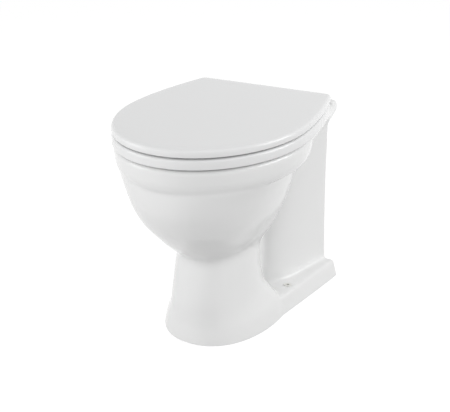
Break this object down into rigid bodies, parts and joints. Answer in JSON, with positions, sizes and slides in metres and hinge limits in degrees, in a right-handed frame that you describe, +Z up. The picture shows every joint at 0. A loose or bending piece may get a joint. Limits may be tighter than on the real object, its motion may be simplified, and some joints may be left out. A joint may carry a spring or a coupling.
{
  "type": "back to wall toilet",
  "caption": "One-piece china pan with a rear shroud to the wall, side recesses, P-trap outlet, and a hinged seat and lid.",
  "frame": {"origin": "on the floor under the middle of the object's depth, on the centre plane", "axes": "+Z up, +Y towards the wall (the wall plane is at y = +0.260), +X to the right seen from the front"},
  "size_m": [0.36, 0.52, 0.44],
  "materials": {
    "china": "gloss",
    "seat_plastic": "gloss",
    "nylon": "satin",
    "rubber": "matt",
    "steel": "brushed"
  },
  "bodies": {
    "pan_body": {"pan": "china", "floor_sleeve_left": "nylon", "floor_sleeve_right": "nylon", "hinge_post_left": "seat_plastic", "hinge_post_right": "seat_plastic", "hinge_pin_left": "steel", "hinge_pin_right": "steel", "seat_bolt_left": "steel", "seat_bolt_right": "steel", "deck_washer_left": "rubber", "deck_washer_right": "rubber", "under_washer_left": "rubber", "under_washer_right": "rubber", "wing_nut_left": "nylon", "wing_nut_right": "nylon"},
    "seat_body": {"seat": "seat_plastic", "seat_buffer_front_left": "rubber", "seat_buffer_front_right": "rubber", "seat_buffer_rear_left": "rubber", "seat_buffer_rear_right": "rubber", "seat_bush_left": "nylon", "seat_bush_right": "nylon"},
    "lid_body": {"lid": "seat_plastic", "lid_buffer_left": "rubber", "lid_buffer_right": "rubber", "lid_bush_left": "nylon", "lid_bush_right": "nylon"}
  },
  "joints": [
    {"name": "seat_hinge", "type": "hinge", "parent": "pan_body", "child": "seat_body", "pos_m": [0, 0.203, 0.4245], "axis": [-1, 0, 0], "range_deg": [0, 92]},
    {"name": "lid_hinge", "type": "hinge", "parent": "seat_body", "child": "lid_body", "pos_m": [0, 0.203, 0.4245], "axis": [-1, 0, 0], "range_deg": [0, 92]}
  ]
}
